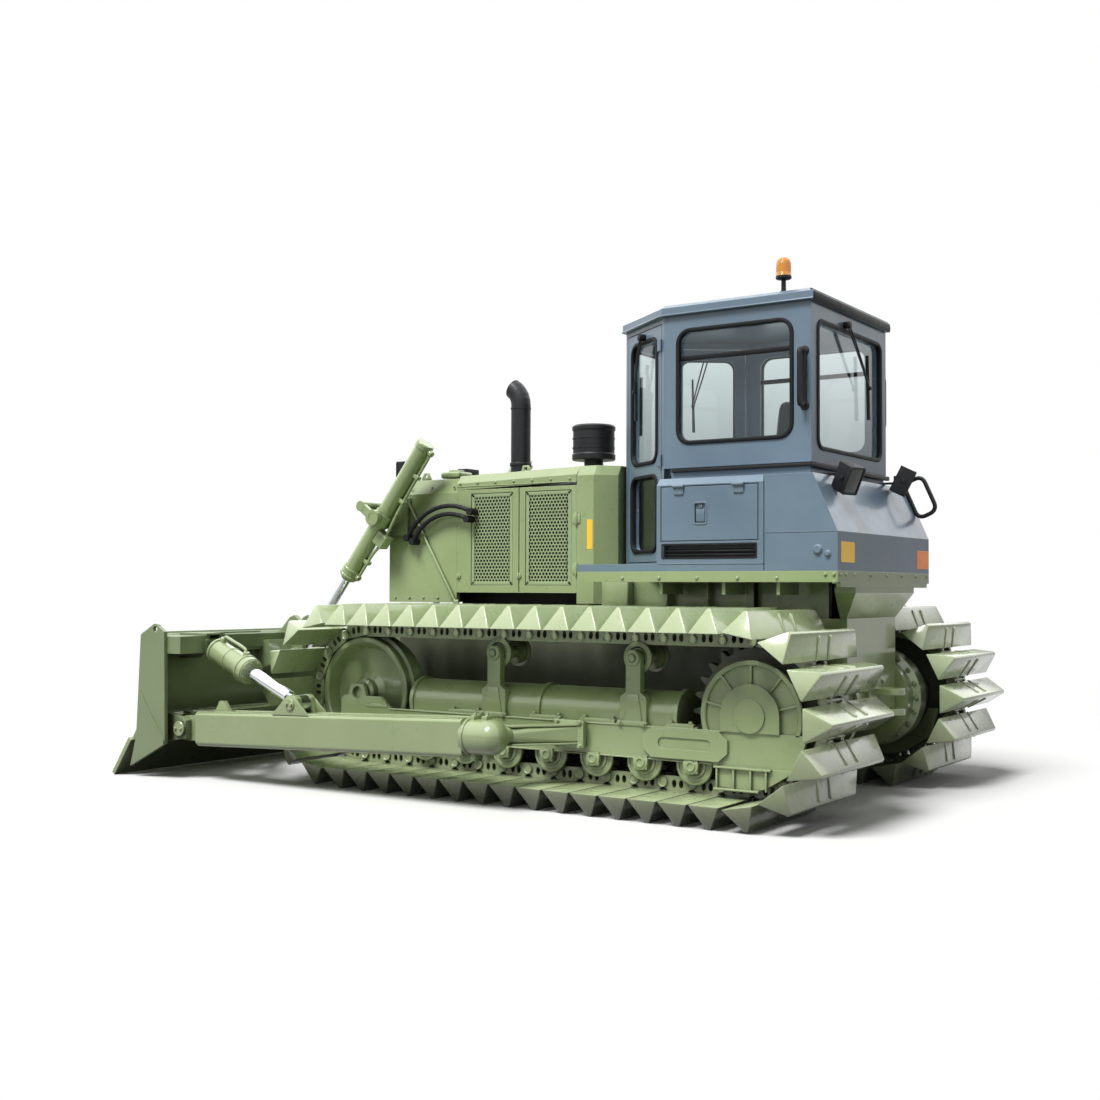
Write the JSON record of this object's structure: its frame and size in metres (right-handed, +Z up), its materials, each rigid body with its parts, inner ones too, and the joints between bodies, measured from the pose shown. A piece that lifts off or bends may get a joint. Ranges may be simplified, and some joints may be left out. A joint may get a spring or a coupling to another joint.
{
  "type": "crawler bulldozer",
  "caption": "Swamp crawler bulldozer with wide triangular track shoes, a straight hollow-faced blade on push arms and a six-sided glazed cab.",
  "frame": {"origin": "on the ground, under the middle of the outer box", "axes": "+X forward to the blade, +Y to the left side of the machine, +Z up"},
  "size_m": [5.4564, 4.15, 3.5278],
  "materials": {
    "olive_green_paint": "satin",
    "blue_grey_paint": "satin",
    "black_paint": "matte",
    "black_plastic": "matte",
    "chrome_rod": "polished",
    "window_glass": "clear",
    "seat_cover": "matte",
    "hose_rubber": "matte"
  },
  "bodies": {
    "machine": {"track_left": "olive_green_paint", "track_right": "olive_green_paint", "track_frame_left": "olive_green_paint", "track_frame_right": "olive_green_paint", "sprockets": "olive_green_paint", "idlers": "olive_green_paint", "rollers": "olive_green_paint", "final_drives": "olive_green_paint", "cross_axles": "olive_green_paint", "frame_rails": "olive_green_paint", "belly_guard": "olive_green_paint", "rear_case": "olive_green_paint", "deck": "olive_green_paint", "engine": "black_paint", "radiator_guard": "olive_green_paint", "radiator_grille": "black_paint", "hood_top": "olive_green_paint", "cowl": "olive_green_paint", "engine_screen_left": "olive_green_paint", "engine_screen_right": "olive_green_paint", "exhaust_pipe": "black_paint", "air_precleaner": "black_plastic", "lift_yokes": "olive_green_paint", "hoses": "hose_rubber", "fuel_tank": "blue_grey_paint", "box_left": "blue_grey_paint", "box_right": "blue_grey_paint", "cab_sides": "blue_grey_paint", "cab_rear_wall": "blue_grey_paint", "cab_front": "blue_grey_paint", "cab_floor": "black_paint", "cab_sill": "blue_grey_paint", "cab_roof": "blue_grey_paint", "cab_glass": "window_glass", "seat": "seat_cover", "controls": "black_paint", "beacon": "black_plastic", "work_lamps": "black_plastic", "grab_handles": "black_plastic", "arm_trunnions": "olive_green_paint"},
    "blade_frame": {"blade": "olive_green_paint", "cutting_edge": "olive_green_paint", "push_arm_left": "olive_green_paint", "push_arm_right": "olive_green_paint", "tilt_barrel": "olive_green_paint", "tilt_rod": "chrome_rod", "pitch_brace": "olive_green_paint"},
    "lift_tube_left": {"lift_tube_left": "olive_green_paint"},
    "lift_rod_left": {"lift_rod_left": "chrome_rod"},
    "lift_tube_right": {"lift_tube_right": "olive_green_paint"},
    "lift_rod_right": {"lift_rod_right": "chrome_rod"},
    "door_left": {"cab_door_left": "blue_grey_paint", "door_glass_left": "window_glass"},
    "door_right": {"cab_door_right": "blue_grey_paint", "door_glass_right": "window_glass"},
    "locker_door": {"box_door": "blue_grey_paint"}
  },
  "joints": [
    {"name": "blade_lift", "type": "hinge", "parent": "machine", "child": "blade_frame", "pos_m": [-0.60167, 0, 0.46456], "axis": [0, -1, 0], "range_deg": [-9, 16]},
    {"name": "lift_swing_left", "type": "hinge", "parent": "machine", "child": "lift_tube_left", "pos_m": [1.36033, 0.65, 1.92256], "axis": [0, -1, 0], "range_deg": [-10.72, 18.98]},
    {"name": "lift_stroke_left", "type": "slide", "parent": "lift_tube_left", "child": "lift_rod_left", "axis": [0.611, 0, -0.7916], "range_m": [-0.6684, 0.3764]},
    {"name": "lift_swing_right", "type": "hinge", "parent": "machine", "child": "lift_tube_right", "pos_m": [1.36033, -0.65, 1.92256], "axis": [0, -1, 0], "range_deg": [-10.72, 18.98]},
    {"name": "lift_stroke_right", "type": "slide", "parent": "lift_tube_right", "child": "lift_rod_right", "axis": [0.611, 0, -0.7916], "range_m": [-0.6684, 0.3764]},
    {"name": "cab_door_left", "type": "hinge", "parent": "machine", "child": "door_left", "pos_m": [-1.08797, 0.64009, 2.18956], "axis": [0, 0, 1], "range_deg": [0, 110]},
    {"name": "cab_door_right", "type": "hinge", "parent": "machine", "child": "door_right", "pos_m": [-1.08797, -0.64009, 2.18956], "axis": [0, 0, -1], "range_deg": [0, 110]},
    {"name": "locker_lid", "type": "hinge", "parent": "machine", "child": "locker_door", "pos_m": [-1.59167, 0.842, 2.05256], "axis": [1, 0, 0], "range_deg": [0, 95]}
  ],
  "couplings": [
    {"joint": "lift_swing_left", "follows": "blade_lift", "ratio": 1.18},
    {"joint": "lift_stroke_left", "follows": "blade_lift", "m_per_rad": -2.39},
    {"joint": "lift_swing_right", "follows": "blade_lift", "ratio": 1.18},
    {"joint": "lift_stroke_right", "follows": "blade_lift", "m_per_rad": -2.39}
  ]
}
